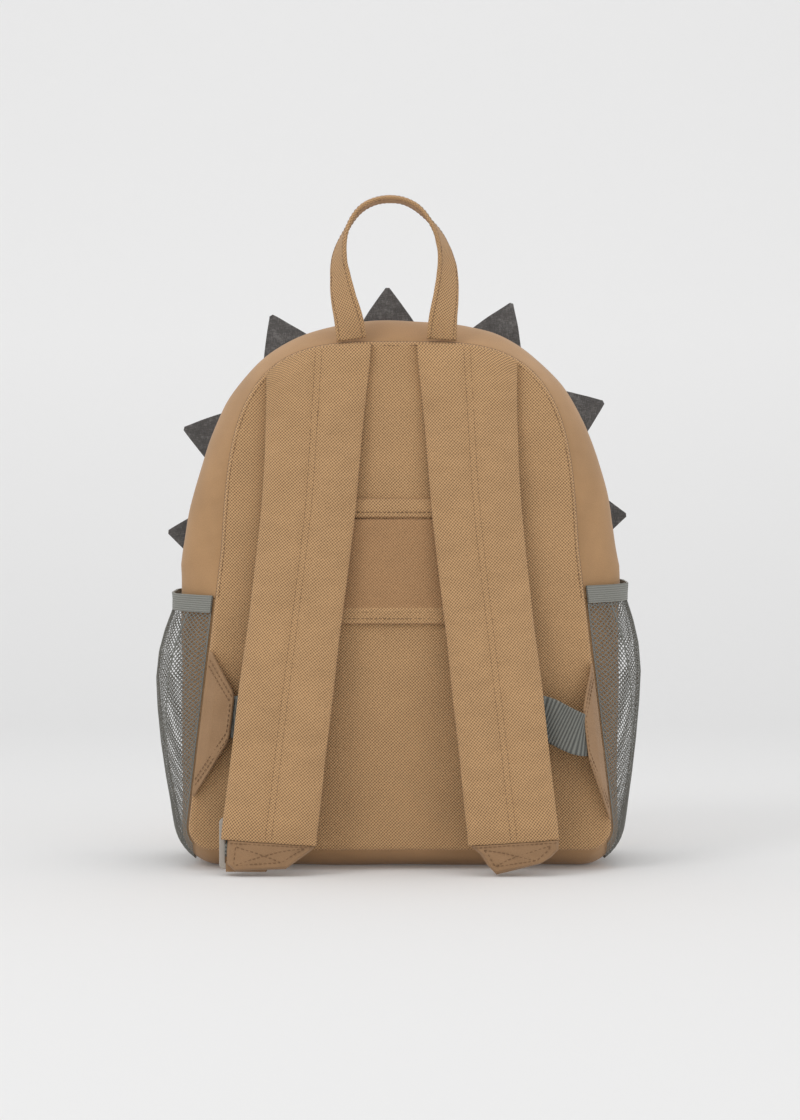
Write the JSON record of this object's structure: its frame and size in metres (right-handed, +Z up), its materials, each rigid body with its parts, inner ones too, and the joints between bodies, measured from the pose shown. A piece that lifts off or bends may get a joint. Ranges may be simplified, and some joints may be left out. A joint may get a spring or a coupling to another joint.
{
  "type": "kids' animal backpack",
  "caption": "Small tan twill backpack with an arched top, felt spikes in its front seam, padded straps, net side pockets and a carrying loop.",
  "frame": {"origin": "middle of the flat underside that the bag stands on", "axes": "+Z up; +Y from the strap side to the front of the bag; +X to the right seen from the strap side"},
  "size_m": [0.3009, 0.1549, 0.4035],
  "materials": {
    "twill": "matte coarse twill",
    "plain_cloth": "matte smooth cloth",
    "zip_tape": "woven zip tape",
    "metal": "satin",
    "felt": "melange wool felt",
    "webbing": "ribbed webbing",
    "elastic": "ribbed elastic",
    "net": "open net",
    "plastic": "satin moulded"
  },
  "bodies": {
    "root": {"back_panel": "twill", "front_panel": "twill", "luggage_sleeve": "twill", "sleeve_welt": "twill", "handle": "twill", "shoulder_strap_left": "twill", "shoulder_strap_right": "twill", "gusset_base": "plain_cloth", "gusset_rear": "plain_cloth", "gusset_front": "plain_cloth", "side_tab_left": "plain_cloth", "side_tab_right": "plain_cloth", "strap_tip_left": "plain_cloth", "strap_tip_right": "plain_cloth", "lock_loop_left": "plain_cloth", "lock_loop_right": "plain_cloth", "zip_tape": "zip_tape", "zip_slider": "metal", "spike_1": "felt", "spike_2": "felt", "spike_3": "felt", "spike_4": "felt", "spike_5": "felt", "spike_6": "felt", "spike_7": "felt", "webbing_left": "webbing", "webbing_right": "webbing", "pocket_elastic_left": "elastic", "pocket_elastic_right": "elastic", "mesh_pocket_left": "net", "mesh_pocket_right": "net", "ladder_lock_left": "plastic", "ladder_lock_right": "plastic"}
  },
  "joints": []
}
